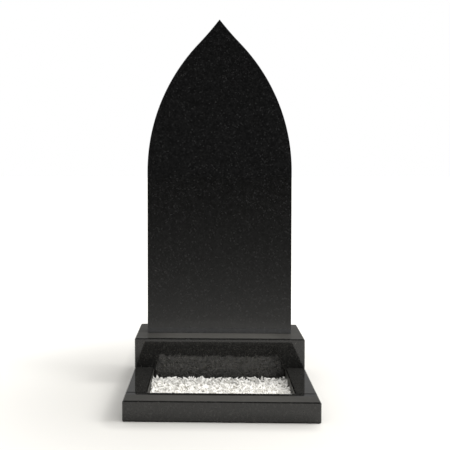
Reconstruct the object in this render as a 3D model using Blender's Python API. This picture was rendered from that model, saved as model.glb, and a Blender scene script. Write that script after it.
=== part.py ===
"""Grave monument of polished black granite.

An arched stele stands on a plinth. In front of the plinth three granite bars make a kerb round a
bed of white marble chips. Metres, +Z up, the front looks along -Y, and the origin is on the ground
under the middle of the whole monument.
"""

import math
import random

import bmesh
import bpy
from mathutils import Vector
from mathutils.geometry import delaunay_2d_cdt

# Whole monument
WIDTH = 0.700
JOINT = 0.0003
STELE_ARRIS = 0.0015
BLOCK_ARRIS = 0.004

# Plinth
PLINTH_DEPTH = 0.280
PLINTH_HEIGHT = 0.193

# Stele: two side arcs of a pointed arch, each turning outwards a little towards the tip
STELE_WIDTH = 0.610
STELE_THICKNESS = 0.080
STELE_HEIGHT = 1.328
SPRINGING_HEIGHT = 0.688
SIDE_ARC_RADIUS = 0.777
TIP_ARC_RADIUS = 1.300
ARC_STEP = math.radians(1.25)

# Kerb
KERB_HEIGHT = 0.075
KERB_FRONT_DEPTH = 0.096
KERB_SIDE_WIDTH = 0.080
KERB_SIDE_LENGTH = 0.334

# Bed of marble chips
BED_HEIGHT = 0.032
CHIP_SPACING = 0.0185
CHIP_EDGE = 0.007
CHIP_LEAN = 0.32
CHIP_THROWS = 4000
CHIP_SEED = 7
SHORTEST_SIDE = 0.0012
EDGE_STEP = 0.022

# Places worked out from the sizes above
DEPTH = KERB_FRONT_DEPTH + KERB_SIDE_LENGTH + PLINTH_DEPTH
FRONT_Y = -DEPTH / 2
KERB_BACK_Y = FRONT_Y + KERB_FRONT_DEPTH
PLINTH_FACE_Y = KERB_BACK_Y + KERB_SIDE_LENGTH
PLINTH_MIDDLE_Y = PLINTH_FACE_Y + PLINTH_DEPTH / 2
BED_WIDTH = WIDTH - 2 * KERB_SIDE_WIDTH


def clear_scene():
    """Empty the scene of whatever it holds."""
    for thing in list(bpy.data.objects):
        bpy.data.objects.remove(thing, do_unlink=True)


def polished_granite(name):
    """Black granite with a mirror polish."""
    material = bpy.data.materials.new(name)
    material.use_nodes = True
    shader = material.node_tree.nodes["Principled BSDF"]
    shader.inputs["Base Color"].default_value = (0.012, 0.012, 0.013, 1.0)
    shader.inputs["Roughness"].default_value = 0.04
    shader.inputs["Metallic"].default_value = 0.0
    return material


def white_marble(name):
    """White crushed marble."""
    material = bpy.data.materials.new(name)
    material.use_nodes = True
    shader = material.node_tree.nodes["Principled BSDF"]
    shader.inputs["Base Color"].default_value = (0.80, 0.80, 0.78, 1.0)
    shader.inputs["Roughness"].default_value = 0.55
    shader.inputs["Metallic"].default_value = 0.0
    return material


def object_from_bmesh(name, form, place, material):
    """Turn a bmesh into a named object with its faces pointing out."""
    bmesh.ops.recalc_face_normals(form, faces=form.faces)
    mesh = bpy.data.meshes.new(name)
    form.to_mesh(mesh)
    form.free()
    mesh.materials.append(material)
    thing = bpy.data.objects.new(name, mesh)
    thing.location = place
    bpy.context.collection.objects.link(thing)
    return thing


def dress_arrises(thing, width):
    """Take the sharp edges off with the small flat chamfer that a mason rubs on."""
    chamfer = thing.modifiers.new("arris", "BEVEL")
    chamfer.width = width
    chamfer.segments = 1
    chamfer.limit_method = "ANGLE"
    chamfer.angle_limit = math.radians(30)


def granite_block(name, size, place, material):
    """Rectangular block standing on the given point, with dressed arrises."""
    form = bmesh.new()
    bmesh.ops.create_cube(form, size=1.0)
    bmesh.ops.scale(form, verts=form.verts, vec=size)
    bmesh.ops.translate(form, verts=form.verts, vec=(0.0, 0.0, size[2] / 2))
    block = object_from_bmesh(name, form, place, material)
    dress_arrises(block, BLOCK_ARRIS)
    return block


def circle_meeting(first, first_reach, second, second_reach):
    """Point to the right that lies at the given distances from two centres."""
    between = second - first
    distance = between.length
    along = (first_reach ** 2 - second_reach ** 2 + distance ** 2) / (2 * distance)
    across = math.sqrt(first_reach ** 2 - along ** 2)
    middle = first + between * (along / distance)
    side = Vector((between.y, -between.x)) * (across / distance)
    return max(middle + side, middle - side, key=lambda point: point.x)


def arc_points(centre, radius, start, end):
    """Points along an arc, from its start angle to its end angle, the end left out."""
    steps = max(1, math.ceil(abs(end - start) / ARC_STEP))
    angles = [start + (end - start) * step / steps for step in range(steps)]
    return [centre + radius * Vector((math.cos(angle), math.sin(angle))) for angle in angles]


def arch_half_outline():
    """Right half of the stele's outline, from the springing up to just under the apex."""
    side_centre = Vector((STELE_WIDTH / 2 - SIDE_ARC_RADIUS, SPRINGING_HEIGHT))
    apex = Vector((0.0, STELE_HEIGHT))
    reach = SIDE_ARC_RADIUS + TIP_ARC_RADIUS
    tip_centre = circle_meeting(side_centre, reach, apex, TIP_ARC_RADIUS)
    turn = tip_centre - side_centre
    turn_angle = math.atan2(turn.y, turn.x)
    to_apex = apex - tip_centre
    tip_start = turn_angle + math.pi
    tip_end = math.atan2(to_apex.y, to_apex.x) % math.tau
    side = arc_points(side_centre, SIDE_ARC_RADIUS, 0.0, turn_angle)
    tip = arc_points(tip_centre, TIP_ARC_RADIUS, tip_start, tip_end)
    return side + tip


def stele(material):
    """Arched slab: its outline is drawn once, filled, and drawn out to the slab's thickness."""
    right = arch_half_outline()
    foot = STELE_WIDTH / 2
    outline = [Vector((-foot, 0.0)), Vector((foot, 0.0))]
    outline += right
    outline.append(Vector((0.0, STELE_HEIGHT)))
    outline += [Vector((-point.x, point.y)) for point in reversed(right)]

    form = bmesh.new()
    front = [form.verts.new((point.x, -STELE_THICKNESS / 2, point.y)) for point in outline]
    face = form.faces.new(front)
    drawn = bmesh.ops.extrude_face_region(form, geom=[face])["geom"]
    back = [item for item in drawn if isinstance(item, bmesh.types.BMVert)]
    bmesh.ops.translate(form, verts=back, vec=(0.0, STELE_THICKNESS, 0.0))
    place = (0.0, PLINTH_MIDDLE_Y, PLINTH_HEIGHT + JOINT)
    slab = object_from_bmesh("stele", form, place, material)
    dress_arrises(slab, STELE_ARRIS)
    return slab


def plinth(material):
    """Block under the stele, as wide as the kerb."""
    size = (WIDTH, PLINTH_DEPTH, PLINTH_HEIGHT)
    return granite_block("plinth", size, (0.0, PLINTH_MIDDLE_Y, 0.0), material)


def kerb_front(material):
    """Bar across the front, the full width of the monument."""
    size = (WIDTH, KERB_FRONT_DEPTH, KERB_HEIGHT)
    return granite_block("kerb_front", size, (0.0, FRONT_Y + KERB_FRONT_DEPTH / 2, 0.0), material)


def kerb_side(name, side, material):
    """Bar between the front bar's back and the plinth's face, with a joint at each end."""
    size = (KERB_SIDE_WIDTH, KERB_SIDE_LENGTH - 2 * JOINT, KERB_HEIGHT)
    middle_y = (KERB_BACK_Y + PLINTH_FACE_Y) / 2
    place = (side * (WIDTH - KERB_SIDE_WIDTH) / 2, middle_y, 0.0)
    return granite_block(name, size, place, material)


def scattered_middles(chance, half_x, half_y):
    """Middles of the chips: thrown at random, and kept where they lie clear of the others."""
    middles = []
    for throw in range(CHIP_THROWS):
        x = chance.uniform(-half_x + CHIP_EDGE, half_x - CHIP_EDGE)
        y = chance.uniform(-half_y + CHIP_EDGE, half_y - CHIP_EDGE)
        if all(math.hypot(x - other.x, y - other.y) > CHIP_SPACING for other in middles):
            middles.append(Vector((x, y)))
    return middles


def circumcentre(a, b, c):
    """Point equally far from three points."""
    doubled = 2 * (a.x * (b.y - c.y) + b.x * (c.y - a.y) + c.x * (a.y - b.y))
    x = a.length_squared * (b.y - c.y) + b.length_squared * (c.y - a.y) + c.length_squared * (a.y - b.y)
    y = a.length_squared * (c.x - b.x) + b.length_squared * (a.x - c.x) + c.length_squared * (b.x - a.x)
    return Vector((x, y)) / doubled


def plots_round(middles, half_x, half_y):
    """Ground nearest to each middle, as the corners of a plot: mirror images close the outer ones."""
    mirrored = [Vector((2 * side * half_x - point.x, point.y)) for side in (-1, 1) for point in middles]
    mirrored += [Vector((point.x, 2 * side * half_y - point.y)) for side in (-1, 1) for point in middles]
    everything = middles + mirrored
    triangles = delaunay_2d_cdt(everything, [], [], 0, 1e-7)[2]
    plots = [[] for point in middles]
    for triangle in triangles:
        corner = circumcentre(*[everything[index] for index in triangle])
        for index in triangle:
            if index < len(middles):
                known = plots[index]
                if all((corner - other).length > SHORTEST_SIDE for other in known):
                    known.append(corner)
    for middle, corners in zip(middles, plots):
        corners.sort(key=lambda corner: math.atan2(corner.y - middle.y, corner.x - middle.x))
    return plots


def tilted_chips(chance, middles, plots):
    """One chip in each plot, drawn in from the plot's sides and leaning: corners as (x, y, z)."""
    chips = []
    for middle, corners in zip(middles, plots):
        height = BED_HEIGHT + chance.uniform(-0.003, 0.003)
        lean = Vector((chance.uniform(-CHIP_LEAN, CHIP_LEAN), chance.uniform(-CHIP_LEAN, CHIP_LEAN)))
        reach = chance.uniform(0.72, 0.86)
        offsets = [(corner - middle) * reach for corner in corners]
        chips.append([(*(middle + offset), height + lean.dot(offset)) for offset in offsets])
    return chips


def hollows_between(chance, plots, half_x, half_y):
    """Low points where plots meet, away from the bed's edge."""
    found = []
    for corner in [corner for corners in plots for corner in corners]:
        inside = abs(corner.x) < half_x - CHIP_EDGE / 3 and abs(corner.y) < half_y - CHIP_EDGE / 3
        if inside and all((corner - other).length > SHORTEST_SIDE for other in found):
            found.append(corner)
    return [(point.x, point.y, BED_HEIGHT - chance.uniform(0.007, 0.012)) for point in found]


def edge_points(chance, half_x, half_y):
    """Low points round the bed's edge, anticlockwise."""
    columns = round(2 * half_x / EDGE_STEP)
    rows = round(2 * half_y / EDGE_STEP)
    steps_x = [2 * half_x * column / columns - half_x for column in range(columns)]
    steps_y = [2 * half_y * row / rows - half_y for row in range(rows)]
    edge = [(x, -half_y) for x in steps_x]
    edge += [(half_x, y) for y in steps_y]
    edge += [(-x, half_y) for x in steps_x]
    edge += [(-half_x, -y) for y in steps_y]
    return [(x, y, BED_HEIGHT - chance.uniform(0.006, 0.010)) for x, y in edge]


def marble_chips(material):
    """Bed of chips fused into one: flat below, upright sides, a top of leaning chips with hollows."""
    chance = random.Random(CHIP_SEED)
    half_x = BED_WIDTH / 2 - JOINT
    half_y = KERB_SIDE_LENGTH / 2 - JOINT
    middles = scattered_middles(chance, half_x, half_y)
    plots = plots_round(middles, half_x, half_y)
    chips = tilted_chips(chance, middles, plots)
    hollows = hollows_between(chance, plots, half_x, half_y)
    edge = edge_points(chance, half_x, half_y)

    points = edge + hollows
    plates = []
    for chip in chips:
        plates.append(list(range(len(points), len(points) + len(chip))))
        points += chip
    flat = [Vector((x, y)) for x, y, z in points]
    rim = [(place, (place + 1) % len(edge)) for place in range(len(edge))]
    triangles = delaunay_2d_cdt(flat, rim, plates, 1, 1e-7)[2]

    form = bmesh.new()
    top = [form.verts.new(point) for point in points]
    for triangle in triangles:
        form.faces.new([top[corner] for corner in triangle])
    foot = [form.verts.new((x, y, 0.0)) for x, y, z in edge]
    for here, there in rim:
        form.faces.new((top[here], foot[here], foot[there], top[there]))
    form.faces.new(list(reversed(foot)))
    middle_y = (KERB_BACK_Y + PLINTH_FACE_Y) / 2
    return object_from_bmesh("marble_chips", form, (0.0, middle_y, 0.0), material)


clear_scene()
polished = polished_granite("polished black granite")
stele(polished)
plinth(polished)
kerb_front(polished)
kerb_side("kerb_left", -1, polished)
kerb_side("kerb_right", 1, polished)
marble_chips(white_marble("white marble"))
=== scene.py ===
"""Looks of a polished black granite headstone with a kerbed bed of white marble chips."""

import math

import bpy
from mathutils import Matrix, Vector


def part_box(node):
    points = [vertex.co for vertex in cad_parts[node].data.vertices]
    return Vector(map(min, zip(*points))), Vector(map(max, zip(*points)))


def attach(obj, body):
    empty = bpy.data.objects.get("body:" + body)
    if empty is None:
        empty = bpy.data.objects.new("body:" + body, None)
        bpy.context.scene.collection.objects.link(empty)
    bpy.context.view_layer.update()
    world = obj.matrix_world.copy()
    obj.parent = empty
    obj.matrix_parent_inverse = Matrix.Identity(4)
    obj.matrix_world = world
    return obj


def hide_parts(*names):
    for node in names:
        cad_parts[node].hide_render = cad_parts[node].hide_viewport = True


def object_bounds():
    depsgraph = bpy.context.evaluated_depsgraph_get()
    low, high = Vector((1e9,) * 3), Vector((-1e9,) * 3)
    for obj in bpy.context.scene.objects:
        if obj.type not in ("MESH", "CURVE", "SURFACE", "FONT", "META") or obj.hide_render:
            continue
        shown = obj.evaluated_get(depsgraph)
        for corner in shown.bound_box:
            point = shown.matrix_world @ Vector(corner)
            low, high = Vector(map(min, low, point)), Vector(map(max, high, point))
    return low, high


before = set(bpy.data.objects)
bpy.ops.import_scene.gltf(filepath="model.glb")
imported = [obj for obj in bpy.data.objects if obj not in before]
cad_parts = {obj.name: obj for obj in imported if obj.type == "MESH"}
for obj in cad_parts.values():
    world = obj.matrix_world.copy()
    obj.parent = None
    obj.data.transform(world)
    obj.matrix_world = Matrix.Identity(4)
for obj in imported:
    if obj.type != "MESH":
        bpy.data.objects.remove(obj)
cad_low, cad_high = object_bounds()

# Plinth
# The block that carries the stele. Sawn from black granite, polished to a mirror on its upright faces,
# only rubbed to a satin on top, with its edges eased by hand. It is bedded on the foundation in mortar.


class Wire:
    """An output socket that takes part in Python arithmetic: each operation adds a Math node."""

    def __init__(self, socket):
        self.socket = socket
        self.tree = socket.id_data

    def node(self, kind, settings=None, inputs=None, output=0):
        """Add a node to this tree: its settings first, then the values or wires of its sockets."""
        made = self.tree.nodes.new(kind)
        for name, value in (settings or {}).items():
            setattr(made, name, value)
        for name, value in (inputs or {}).items():
            if isinstance(value, Wire):
                self.tree.links.new(value.socket, made.inputs[name])
            else:
                made.inputs[name].default_value = value
        return Wire(made.outputs[output])

    def math(self, operation, *others):
        """Math node of this wire and the others."""
        inputs = dict(enumerate((self, *others)))
        return self.node("ShaderNodeMath", {"operation": operation}, inputs)

    def __add__(self, other):
        return self.math("ADD", other)

    def __sub__(self, other):
        return self.math("SUBTRACT", other)

    def __rsub__(self, other):
        return (self * -1.0) + other

    def __mul__(self, other):
        return self.math("MULTIPLY", other)

    def __pow__(self, other):
        return self.math("POWER", other)

    __radd__ = __add__
    __rmul__ = __mul__

    def axis(self, name):
        """One coordinate of a vector: X, Y or Z."""
        return self.node("ShaderNodeSeparateXYZ", {}, {"Vector": self}, name)

    def from_middle(self):
        """Distance of a place from the middle plane, to either side."""
        return self.axis("X").math("ABSOLUTE")

    def rise(self, start, end):
        """0 below start, 1 above end, and a smooth step between them."""
        settings = {"interpolation_type": "SMOOTHSTEP"}
        inputs = {"Value": self, "From Min": start, "From Max": end}
        return self.node("ShaderNodeMapRange", settings, inputs)

    def blend(self, low, high):
        """Mix of two colours, with this wire as the factor."""
        settings = {"data_type": "RGBA"}
        return self.node("ShaderNodeMix", settings, {"Factor": self, "A": low, "B": high}, "Result")


def blank_material(name, constants):
    """A material, its shader with constants on its sockets, and the wire of its coordinates, in metres."""
    material = bpy.data.materials.new(name)
    material.use_nodes = True
    shader = material.node_tree.nodes["Principled BSDF"]
    for title, value in constants.items():
        shader.inputs[title].default_value = value
    return material, shader, Wire(shader.outputs["BSDF"]).node("ShaderNodeTexCoord", output="Object")


def connect(node, wires):
    """Lead wires into a node's sockets."""
    for name, wire in wires.items():
        wire.tree.links.new(wire.socket, node.inputs[name])


REDDER = 0.4


def grey(tone, warmth=0.0):
    """Colour of a tone that varies, with less blue and a little more red the warmer it is."""
    parts = {"Red": tone * (1 + warmth * REDDER), "Green": tone, "Blue": tone * (1 - warmth)}
    return tone.node("ShaderNodeCombineColor", {}, parts, "Color")


def lot(place, size):
    """A random number from 0 to 1 for each crystal of the given size."""
    inputs = {"Vector": place, "Scale": 1 / size}
    cells = place.node("ShaderNodeTexVoronoi", {"feature": "F1"}, inputs, "Color")
    return cells.node("ShaderNodeSeparateColor", {}, {"Color": cells}, "Red")


CLOUD_DETAIL = 3.0
CLOUD_ROUGHNESS = 0.55


def cloud(place, size, detail=CLOUD_DETAIL):
    """Soft noise about 0.5, with blotches of the given size."""
    inputs = {"Vector": place, "Scale": 1 / size, "Detail": detail, "Roughness": CLOUD_ROUGHNESS}
    return place.node("ShaderNodeTexNoise", {}, inputs, "Fac")


def uneven(place, size, share):
    """A factor about 1 that varies by a share either way, in blotches of the given size."""
    return (1 - share) + cloud(place, size) * (2 * share)


GROUND_TONE = 0.0012
GRAIN_SIZE = 0.0034
GRAIN_TONE = 0.008
GRAIN_RARITY = 0.70
CRYSTAL_SIZE = 0.0048
CRYSTAL_TONE = 0.014
CRYSTAL_RARITY = 0.85
MOTTLE_SIZE = 0.010
MOTTLE_TONE = 0.0045
MOTTLE_START = 0.38
MOTTLE_END = 0.68


def crystals(place):
    """Tone of the bare stone: a black ground, dim grains and a few clear grey crystals."""
    grain = lot(place, GRAIN_SIZE).rise(GRAIN_RARITY, 1.0) * GRAIN_TONE
    crystal = lot(place, CRYSTAL_SIZE).rise(CRYSTAL_RARITY, 1.0) * CRYSTAL_TONE
    mottle = cloud(place, MOTTLE_SIZE).rise(MOTTLE_START, MOTTLE_END) * MOTTLE_TONE
    return GROUND_TONE + grain + crystal + mottle


GRANITE_INDEX = 1.57
FILM_PATCH = 0.05
FILM_SPREAD = 0.2


class Granite:
    """A piece of black granite on its way to its finish: polished, dusty, and matt in some places."""

    def __init__(self, name, film):
        """Polish it all over and let a film of dust lie on it, given as the tone that it adds."""
        self.material, self.polish, self.place = blank_material(name, {"IOR": GRANITE_INDEX})
        self.dust = film * uneven(self.place, FILM_PATCH, FILM_SPREAD)
        self.on_top = None
        self.matt = None
        self.matt_and_shade_tone = None


# Painted shade: the film thins below these heights, so the plinth's faces are darker at the foot.
FOOT_SHADE_LOW = 0.07
FOOT_SHADE_HIGH = 0.15
FOOT_SHADE_FILM = 0.5
FILM_ABOVE = 0.68


def shade_foot(granite):
    """Thin its film towards the foot, so its faces are darker low down: a painted shade."""
    above_foot = granite.place.axis("Z").rise(FOOT_SHADE_LOW, FOOT_SHADE_HIGH)
    granite.dust = granite.dust * (FOOT_SHADE_FILM + above_foot * FILM_ABOVE)


ARRIS = 0.0041
HAIR = 0.0001
BLEND = 0.0003
CLEAN_SHARE = 0.9
# Painted contact shadow: the tone of the dark matt strip at the foot.
FOOT_LINE_TONE = 0.008


def ease(granite, top):
    """Ease its arrises. Those round the top stay nearly free of dust, and the lowest are matt and dark, a
    painted contact shadow along the foot.
    """
    height = granite.place.axis("Z")
    granite.on_top = height.rise(top - HAIR - BLEND, top - HAIR)
    arris = height.rise(top - ARRIS - BLEND, top - ARRIS) * (1 - granite.on_top)
    granite.dust = granite.dust * (1 - arris * CLEAN_SHARE)
    # A painted contact shadow: the lowest arris is matt and dark where the piece meets the ground.
    granite.matt = 1 - height.rise(ARRIS, ARRIS + BLEND)
    granite.matt_and_shade_tone = granite.matt * FOOT_LINE_TONE


SATIN_PATCH = 0.03
SATIN_LEAST = 0.84
SATIN_SPREAD = 0.24
SPECKLE_START = 0.5
SPECKLE_SHARE = 0.16
# Painted shade: a satin top darkens towards both ends.
END_SHADE_START = 0.16
END_SHADE_END = 0.34


def rub(granite, tone, front, back, end_shade):
    """Rub its top from front to back to a satin of a tone, which a painted shade darkens by a share at both
    ends.
    """
    depth = granite.place.axis("Y")
    reach = depth.rise(front, front + 2 * BLEND) * (1 - depth.rise(back - 2 * BLEND, back))
    satin = granite.on_top * reach
    ends = granite.place.from_middle().rise(END_SHADE_START, END_SHADE_END)
    patches = SATIN_LEAST + cloud(granite.place, SATIN_PATCH) * SATIN_SPREAD
    speckle = patches + lot(granite.place, GRAIN_SIZE).rise(SPECKLE_START, 1.0) * SPECKLE_SHARE
    granite.matt_and_shade_tone = granite.matt_and_shade_tone + satin * (1 - ends * end_shade) * speckle * tone
    granite.matt = granite.matt + satin


POLISH_ROUGHNESS = 0.03
SMEAR_SIZE = 0.02
SMEAR_ROUGHNESS = 0.02
RIPPLE_SIZE = 0.12
RIPPLE_DETAIL = 1.0
RIPPLE_DEPTH = 0.002
RIPPLE_SHARE = 0.02
MATT_ROUGHNESS = 0.42
MATT_SPREAD = 0.1
MATT_PATCH = 0.05
MATT_SHINE = 0.04
MATT_WARMTH = 0.085


def finished(granite, warmth):
    """Its material: the polish with its ripples and dust, mixed with what is matt."""
    place = granite.place
    ripple = cloud(place, RIPPLE_SIZE, RIPPLE_DETAIL)
    waves = {"Strength": RIPPLE_SHARE, "Distance": RIPPLE_DEPTH, "Height": ripple}
    connect(granite.polish, {
        "Base Color": grey(crystals(place) + granite.dust, warmth),
        "Roughness": POLISH_ROUGHNESS + cloud(place, SMEAR_SIZE) * SMEAR_ROUGHNESS,
        "Normal": ripple.node("ShaderNodeBump", {}, waves, "Normal"),
    })
    if granite.matt is not None:
        matt = place.node("ShaderNodeBsdfPrincipled", {}, {
            "Base Color": grey(granite.matt_and_shade_tone, MATT_WARMTH),
            "Roughness": MATT_ROUGHNESS + cloud(place, MATT_PATCH) * MATT_SPREAD,
            "IOR": GRANITE_INDEX,
            "Specular IOR Level": MATT_SHINE,
        }, "BSDF")
        sides = {"Fac": granite.matt, 1: Wire(granite.polish.outputs["BSDF"]), 2: matt}
        surface = place.node("ShaderNodeMixShader", {}, sides)
        connect(granite.material.node_tree.nodes["Material Output"], {"Surface": surface})
    return granite.material


def dress(node, material):
    """Give its finish to a piece that stays as the solid model has it."""
    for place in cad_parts[node].material_slots:
        place.material = material


BLOCK_FILM = 0.011
BLOCK_WARMTH = 0.07
# The plinth's satin is lighter than the front bar's: partly its finish, partly painted light that makes up
# for the stele's shade on its top. Its ends carry a painted shade.
PLINTH_SATIN_AND_LIGHT = 0.103
PLINTH_END_SHADE = 0.48
POLISHED_EDGE = 0.006

plinth_low, plinth_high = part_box("plinth")
plinth = Granite("plinth granite", BLOCK_FILM)
shade_foot(plinth)
ease(plinth, plinth_high.z)
rub(plinth, PLINTH_SATIN_AND_LIGHT, plinth_low.y + ARRIS + POLISHED_EDGE, plinth_high.y, PLINTH_END_SHADE)
dress("plinth", finished(plinth, BLOCK_WARMTH))

# Stele
# The upright slab of the same granite, 80 mm thick, sawn to a pointed arch and polished on its faces
# and flanks. It stands on the plinth by its own weight, pinned and glued. Rain splashes dust from the
# plinth onto its foot.

STELE_FILM = 0.0008
SPLASH_START = 0.0195
SPLASH_END = 0.0235
SPLASH_TONE = 0.0565
SPLASH_PATCH = 0.012
SPLASH_SPREAD = 0.15


def splash(granite, foot):
    """Let a band of splashed dust lie above the height of its foot."""
    splashed = 1 - (granite.place.axis("Z") - foot).rise(SPLASH_START, SPLASH_END)
    granite.dust = granite.dust + splashed * SPLASH_TONE * uneven(granite.place, SPLASH_PATCH, SPLASH_SPREAD)


stele_low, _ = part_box("stele")
stele = Granite("stele granite", STELE_FILM)
splash(stele, stele_low.z)
dress("stele", finished(stele, 0.0))

# Kerb
# Three bars of the same granite round the bed. The front one is as long as the plinth is wide and is
# rubbed to a satin on top, up to a polished margin along the bed. The two side ones butt against its
# back and are polished, but for the sides towards the bed, which are left as sawn.

# The ends of the front bar's satin carry a painted shade.
FRONT_SATIN = 0.072
FRONT_END_SHADE = 0.36
POLISHED_MARGIN = 0.028

front_low, front_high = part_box("kerb_front")
front_bar = Granite("front bar granite", BLOCK_FILM)
ease(front_bar, front_high.z)
rub(front_bar, FRONT_SATIN, front_low.y, front_high.y - POLISHED_MARGIN, FRONT_END_SHADE)
dress("kerb_front", finished(front_bar, BLOCK_WARMTH))

SETTLED_TONE = 0.008
SAWN_TONE = 0.05
SAWN_PATCH = 0.006
SAWN_SPREAD = 0.2


def settle(granite, tone):
    """Let more dust settle on its top."""
    granite.dust = granite.dust + granite.on_top * tone


def saw(granite, inner):
    """Leave the sides towards the bed as sawn. They lie at the inner distance from the middle."""
    sawn = 1 - granite.place.from_middle().rise(inner + 2 * HAIR, inner + 2 * BLEND)
    granite.matt_and_shade_tone = granite.matt_and_shade_tone + sawn * uneven(granite.place, SAWN_PATCH, SAWN_SPREAD) * SAWN_TONE
    granite.matt = (granite.matt + sawn).math("MINIMUM", 1.0)


right_low, right_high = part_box("kerb_right")
side_bar = Granite("side bar granite", BLOCK_FILM)
ease(side_bar, right_high.z)
settle(side_bar, SETTLED_TONE)
saw(side_bar, right_low.x)
side_bar_granite = finished(side_bar, BLOCK_WARMTH)
dress("kerb_left", side_bar_granite)
dress("kerb_right", side_bar_granite)

# Marble chips
# White marble, crushed, sieved and shovelled in between the bars. The chips are angular and thin,
# mostly 20 to 30 mm long, lie any way round and leave dark gaps. They are heaped a little against
# the side bars, and nothing holds them.

MARBLE_INDEX = 1.5
MARBLE_ROUGHNESS = 0.6
DULL_CHIP = (0.95, 0.05)
BRIGHT_CHIP = (1.0, 0.045)
VEIN = (0.93, 0.045)
VEIN_SIZE = 0.010
VEIN_DETAIL = 5.0
VEIN_START = 0.56
VEIN_END = 0.72
GRIT_SIZE = 0.0016
GRIT_DETAIL = 2.0
GRIT_DEPTH = 0.0006
GRIT_SHARE = 0.35
# Painted shade of the plinth on the chips near it.
PLINTH_SHADE_START = -0.05
PLINTH_SHADE_END = 0.03
PLINTH_SHADE_MOST = 0.40
PLINTH_SHADE_SPREAD = 0.42


def marble_colour(tone, warmth):
    """Colour of a fixed tone, as warm as grey makes a varying one."""
    return (tone * (1 + warmth * REDDER), tone, tone * (1 - warmth), 1.0)


def white_marble(name):
    """Crushed white marble: dull, with faint grey veins, each chip a little lighter or darker. Towards
    the plinth more of the chips are darker, in a painted shade of the plinth."""
    constants = {"IOR": MARBLE_INDEX, "Roughness": MARBLE_ROUGHNESS}
    material, shader, place = blank_material(name, constants)
    tone = place.node("ShaderNodeAttribute", {"attribute_name": "tone"}, {}, "Fac")
    chip = tone.blend(marble_colour(*DULL_CHIP), marble_colour(*BRIGHT_CHIP))
    vein = cloud(place, VEIN_SIZE, VEIN_DETAIL).rise(VEIN_START, VEIN_END)
    veined = vein.blend(chip, marble_colour(*VEIN))
    # Painted shade: towards the plinth the chips grow darker, the dull ones most.
    darker = place.axis("Y").rise(PLINTH_SHADE_START, PLINTH_SHADE_END)
    shade = 1 - darker * (PLINTH_SHADE_MOST - tone * PLINTH_SHADE_SPREAD)
    shaded = shade.node("ShaderNodeVectorMath", {"operation": "SCALE"}, {0: veined, "Scale": shade})
    grit = cloud(place, GRIT_SIZE, GRIT_DETAIL)
    rough = {"Strength": GRIT_SHARE, "Distance": GRIT_DEPTH, "Height": grit}
    connect(shader, {"Base Color": shaded, "Normal": grit.node("ShaderNodeBump", {}, rough, "Normal")})
    return material


class Tree(Wire):
    """A tree of geometry nodes with named inputs, which is also the wire of the geometry that comes in."""

    def __init__(self, name, inputs):
        group = bpy.data.node_groups.new(name, "GeometryNodeTree")
        group.interface.new_socket("Geometry", in_out="INPUT", socket_type="NodeSocketGeometry")
        group.interface.new_socket("Geometry", in_out="OUTPUT", socket_type="NodeSocketGeometry")
        self.values = {}
        for title, (kind, value) in inputs.items():
            socket = group.interface.new_socket(title, in_out="INPUT", socket_type=kind)
            self.values[socket.identifier] = value
        self.source = group.nodes.new("NodeGroupInput")
        super().__init__(self.source.outputs["Geometry"])

    def value(self, title):
        """Wire of a named input."""
        return Wire(self.source.outputs[title])

    def random_vector(self, low, high, seed):
        """A random vector between two corners."""
        inputs = {"Min": low, "Max": high, "Seed": seed}
        return self.node("FunctionNodeRandomValue", {"data_type": "FLOAT_VECTOR"}, inputs, "Value")

    def random_number(self, low, high, seed):
        """A random number between two limits."""
        inputs = {2: low, 3: high, "Seed": seed}
        return self.node("FunctionNodeRandomValue", {"data_type": "FLOAT"}, inputs, 1)

    def join(self, parts):
        """One geometry of several."""
        joined = self.tree.nodes.new("GeometryNodeJoinGeometry")
        for part in parts:
            self.tree.links.new(part.socket, joined.inputs[0])
        return Wire(joined.outputs[0])

    def grow(self, name, result):
        """Lead the result out, run the tree once, and return a plain mesh object at the origin."""
        sink = self.tree.nodes.new("NodeGroupOutput")
        self.tree.links.new(result.socket, sink.inputs["Geometry"])
        carrier = bpy.data.objects.new(name + " carrier", bpy.data.meshes.new(name))
        bpy.context.scene.collection.objects.link(carrier)
        modifier = carrier.modifiers.new(name, "NODES")
        modifier.node_group = self.tree
        for identifier, value in self.values.items():
            modifier[identifier] = value
        evaluated = carrier.evaluated_get(bpy.context.evaluated_depsgraph_get())
        mesh = bpy.data.meshes.new_from_object(evaluated)
        bpy.data.objects.remove(carrier, do_unlink=True)
        piece = bpy.data.objects.new(name, mesh)
        bpy.context.scene.collection.objects.link(piece)
        return piece


CHIP_LENGTH = 0.0225
CHIP_WIDTH = 0.42 * CHIP_LENGTH
CHIP_THICKNESS = 0.30 * CHIP_LENGTH
CHIP_KINDS = 8
BLANK_SIDE = 0.72
KNOCK = 0.3


def chip_kinds(tree):
    """A few angular hulls, each from a cube whose corners are knocked about, made long and thin."""
    kinds = []
    for kind in range(CHIP_KINDS):
        blank = tree.node("GeometryNodeMeshCube", {}, {"Size": (BLANK_SIDE, BLANK_SIDE, BLANK_SIDE)}, "Mesh")
        knock = tree.random_vector((-KNOCK, -KNOCK, -KNOCK), (KNOCK, KNOCK, KNOCK), kind)
        broken = tree.node("GeometryNodeSetPosition", {}, {"Geometry": blank, "Offset": knock})
        hull = tree.node("GeometryNodeConvexHull", {}, {"Geometry": broken})
        thin = tree.node("GeometryNodeTransform", {}, {"Geometry": hull, "Scale": tree.value("Chip Size")})
        kinds.append(tree.node("GeometryNodeGeometryToInstance", {}, {"Geometry": thin}))
    return tree.join(reversed(kinds))


CHIP_SPACING = 0.0112
CHIP_DENSITY = 14000.0
CHIP_LAYERS = 5
LOWEST_LAYER = 0.005
LAYER_STEP = 0.0062
OVERHANG = 0.002
JOLT = (0.001, 0.001, 0.003)
TILT = 0.8
SMALLEST = 0.72
LARGEST = 1.25
JOLT_SEED = 20
TURN_SEED = 40
GROWTH_SEED = 60

bed_low, bed_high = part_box("marble_chips")


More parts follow.
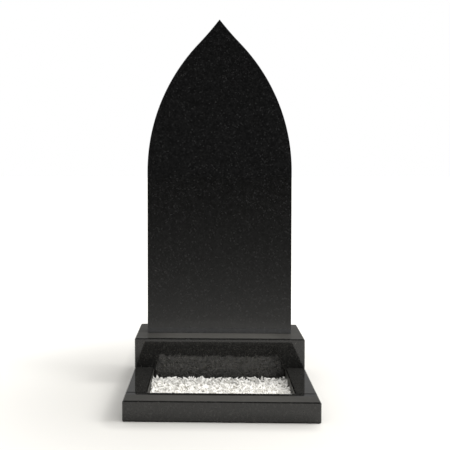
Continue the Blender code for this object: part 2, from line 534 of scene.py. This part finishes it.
def chip_layer(tree, kinds, layer):
    """One layer of chips of mixed kinds and sizes, jolted and turned any way round."""
    middle = (bed_low + bed_high) / 2
    height = LOWEST_LAYER + LAYER_STEP * layer
    ground = tree.node("GeometryNodeMeshGrid", {}, {
        "Size X": bed_high.x - bed_low.x + 2 * OVERHANG,
        "Size Y": bed_high.y - bed_low.y + 2 * OVERHANG,
    }, "Mesh")
    level = tree.node("GeometryNodeTransform", {}, {
        "Geometry": ground,
        "Translation": (middle.x, middle.y, height),
    })
    points = tree.node("GeometryNodeDistributePointsOnFaces", {"distribute_method": "POISSON"}, {
        "Mesh": level,
        "Distance Min": tree.value("Spacing"),
        "Density Max": CHIP_DENSITY,
        "Seed": layer,
    })
    jolt = tree.random_vector(tuple(-move for move in JOLT), JOLT, JOLT_SEED + layer)
    return tree.node("GeometryNodeInstanceOnPoints", {}, {
        "Points": tree.node("GeometryNodeSetPosition", {}, {"Geometry": points, "Offset": jolt}),
        "Instance": kinds,
        "Pick Instance": True,
        "Rotation": tree.random_vector((-TILT, -TILT, 0.0), (TILT, TILT, math.tau), TURN_SEED + layer),
        "Scale": tree.random_number(SMALLEST, LARGEST, GROWTH_SEED + layer),
    })


HIGHEST_TIP = 0.047
SIDE_HEAP = 0.012
HEAP_WIDTH = 0.022
HEAP_LOSS = 0.75
TONE_SEED = 5


def loose_chips(material):
    """Layers of chips, held between the bars and heaped against the side ones, least by the plinth."""
    tree = Tree("loose marble chips", {
        "Bed Low": ("NodeSocketVector", tuple(bed_low)),
        "Bed High": ("NodeSocketVector", (bed_high.x, bed_high.y, HIGHEST_TIP)),
        "Chip Size": ("NodeSocketVector", (CHIP_LENGTH, CHIP_WIDTH, CHIP_THICKNESS)),
        "Spacing": ("NodeSocketFloat", CHIP_SPACING),
        "Side Heap": ("NodeSocketFloat", SIDE_HEAP),
        "Stone": ("NodeSocketMaterial", material),
    })
    kinds = chip_kinds(tree)
    pile = tree.join([chip_layer(tree, kinds, layer) for layer in range(CHIP_LAYERS)])
    toned = tree.node("GeometryNodeStoreNamedAttribute", {"domain": "INSTANCE", "data_type": "FLOAT"}, {
        "Geometry": pile,
        "Name": "tone",
        "Value": tree.random_number(0.0, 1.0, TONE_SEED),
    })
    here = tree.node("GeometryNodeInputPosition")
    low = {0: here, 1: tree.value("Bed Low")}
    raised = tree.node("ShaderNodeVectorMath", {"operation": "MAXIMUM"}, low)
    high = {0: raised, 1: tree.value("Bed High")}
    held = tree.node("ShaderNodeVectorMath", {"operation": "MINIMUM"}, high)
    beside = here.from_middle().rise(bed_high.x - HEAP_WIDTH, bed_high.x)
    heap = beside * (1 - here.axis("Y").rise(0.0, bed_high.y) * HEAP_LOSS) * tree.value("Side Heap")
    heaped = tree.node("GeometryNodeSetPosition", {}, {
        "Geometry": tree.node("GeometryNodeRealizeInstances", {}, {"Geometry": toned}),
        "Position": held,
        "Offset": tree.node("ShaderNodeCombineXYZ", {}, {"Z": heap}),
    })
    stone = {"Geometry": heaped, "Material": tree.value("Stone")}
    return tree.grow("marble_chips_loose", tree.node("GeometryNodeSetMaterial", {}, stone))


chips = loose_chips(white_marble("white marble"))
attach(chips, "root")
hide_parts("marble_chips")

# Floor
# A plain pale floor. Away from the stone it gives the polished faces less and less light to mirror.
# Close to the stone it lies in a soft shade, in front and on the left.

FLOOR_SIZE = 160.0
FLOOR_DROP = 0.0005
FLOOR_TONE = 0.82
FLOOR_WARMTH = 0.05
FLOOR_ROUGHNESS = 0.9
SHADE = 0.15
SHADE_START = 0.035
SHADE_END = 0.095
LIT_START = 0.30
LIT_END = 0.36
GLARE = 0.36
GLARE_START = 0.55
GLARE_END = 1.6
MIRRORED_TONE = 0.45
MIRRORED_POWER = -0.75
MIRRORED_NEAR = 0.085
MIRRORED_FAR = 0.05
MIRRORED_MOST = 0.645
NEAR_START = 0.86
NEAR_END = 1.10
MIRRORED_SHADE = 0.34
MIRRORED_SHADE_START = 0.01
MIRRORED_SHADE_END = 0.14

corner = FLOOR_SIZE / 2
floor_corners = [(x * corner, y * corner, 0.0) for x, y in ((-1, -1), (1, -1), (1, 1), (-1, 1))]
floor_mesh = bpy.data.meshes.new("floor")
floor_mesh.from_pydata(floor_corners, [], [(0, 1, 2, 3)])
floor = bpy.data.objects.new("floor", floor_mesh)
bpy.context.scene.collection.objects.link(floor)
floor.location.z = -FLOOR_DROP

paper, paper_shader, spot = blank_material("pale floor", {
    "Roughness": FLOOR_ROUGHNESS, "Specular IOR Level": 0.0, "Emission Strength": 1.0,
})
seen = spot.node("ShaderNodeLightPath", output="Is Camera Ray")
away = spot.node("ShaderNodeVectorMath", {"operation": "LENGTH"}, {0: spot}, "Value")
beside = (spot.from_middle() - cad_high.x).math("MAXIMUM", 0.0)
before = (cad_low.y - spot.axis("Y")).math("MAXIMUM", 0.0)
gap = (beside ** 2.0 + before ** 2.0) ** 0.5
unlit = 1 - spot.axis("X").rise(LIT_START, LIT_END)
pale = FLOOR_TONE * (1 - unlit * (1 - gap.rise(SHADE_START, SHADE_END)) * SHADE)
near = (1 - away.rise(NEAR_START, NEAR_END)) * MIRRORED_NEAR
bright = (away ** MIRRORED_POWER * MIRRORED_TONE + near + MIRRORED_FAR).math("MINIMUM", MIRRORED_MOST)
close = 1 - gap.rise(MIRRORED_SHADE_START, MIRRORED_SHADE_END)
mirrored = bright * (1 - unlit * close * MIRRORED_SHADE)
connect(paper_shader, {
    "Base Color": grey(seen * pale + (1 - seen) * mirrored, FLOOR_WARMTH),
    "Emission Color": grey(seen * (away.rise(GLARE_START, GLARE_END) * GLARE)),
})
floor_mesh.materials.append(paper)

# Light
# A pale studio: a high ring of soft light, darker at the zenith and low in front, and one large soft
# lamp from the right, which doesn't show in the polished faces.

DOME = 1.06
DOME_TO_RIGHT = 0.55
LOW_FRONT = 0.078
HIGH_FRONT = 0.06
LOW_BACK = 0.31
LOW_TOP = 0.20
BACK_TURN = 0.4
RING = 1.6
RING_START = 0.36
RING_FULL = 0.50
RING_FADE = 0.80
RING_END = 0.92
ZENITH = 0.10

world = bpy.data.worlds.new("studio")
bpy.context.scene.world = world
world.use_nodes = True
backdrop = world.node_tree.nodes["Background"]
backdrop.inputs["Color"].default_value = (1.0, 1.0, 1.0, 1.0)
sky = Wire(backdrop.outputs["Background"]).node("ShaderNodeTexCoord", output="Generated")
direct = sky.node("ShaderNodeLightPath", output="Is Camera Ray")
glossy = sky.node("ShaderNodeLightPath", output="Is Glossy Ray")
height = sky.axis("Z")
lifted = height.rise(0.0, LOW_TOP)
front = LOW_FRONT + lifted * (HIGH_FRONT - LOW_FRONT)
low = front + sky.axis("Y").rise(-BACK_TURN, BACK_TURN) * lifted * (LOW_BACK - front)
zenith = height.rise(RING_FADE, RING_END)
ring = height.rise(RING_START, RING_FULL) * (1 - zenith)
glow = low + ring * RING + zenith * ZENITH
dome = (1 + sky.axis("X") * DOME_TO_RIGHT) * DOME
lit = glossy * glow + (1 - glossy) * dome
connect(backdrop, {"Strength": direct + (1 - direct) * lit})

KEY_SIZE = 1.6
KEY_POWER = 44.0
KEY_PLACE = (2.6, -0.35, 2.25)
KEY_TARGET = (0.0, -0.1, 0.1)

key = bpy.data.lights.new("key", "AREA")
key.shape = "DISK"
key.size = KEY_SIZE
key.energy = KEY_POWER
lamp = bpy.data.objects.new("key", key)
bpy.context.scene.collection.objects.link(lamp)
aim = (Vector(KEY_TARGET) - Vector(KEY_PLACE)).to_track_quat("-Z", "Y")
lamp.matrix_world = Matrix.Translation(KEY_PLACE) @ aim.to_matrix().to_4x4()
lamp.visible_glossy = False

# Camera
# It stands as high as the middle of the stele and a little to its left, and looks down very slightly,
# as the photograph shows it.

FRAME = 450.0
FOCAL_PIXELS = 701.6
SENSOR = 36.0
SHIFT = (0.0811, -0.0775)
CAMERA_PLACE = (-0.0460, -2.7964, 0.8877)
CAMERA_DIP = math.radians(1.642)
CAMERA_TURN = math.radians(1.634)

camera_data = bpy.data.cameras.new("camera")
camera_data.sensor_width = SENSOR
camera_data.lens = FOCAL_PIXELS / FRAME * SENSOR
camera_data.shift_x, camera_data.shift_y = SHIFT
camera = bpy.data.objects.new("camera", camera_data)
bpy.context.scene.collection.objects.link(camera)
camera.location = CAMERA_PLACE
camera.rotation_euler = (math.pi / 2 - CAMERA_DIP, 0.0, CAMERA_TURN)
bpy.context.scene.camera = camera
bpy.context.scene.view_settings.view_transform = "Standard"
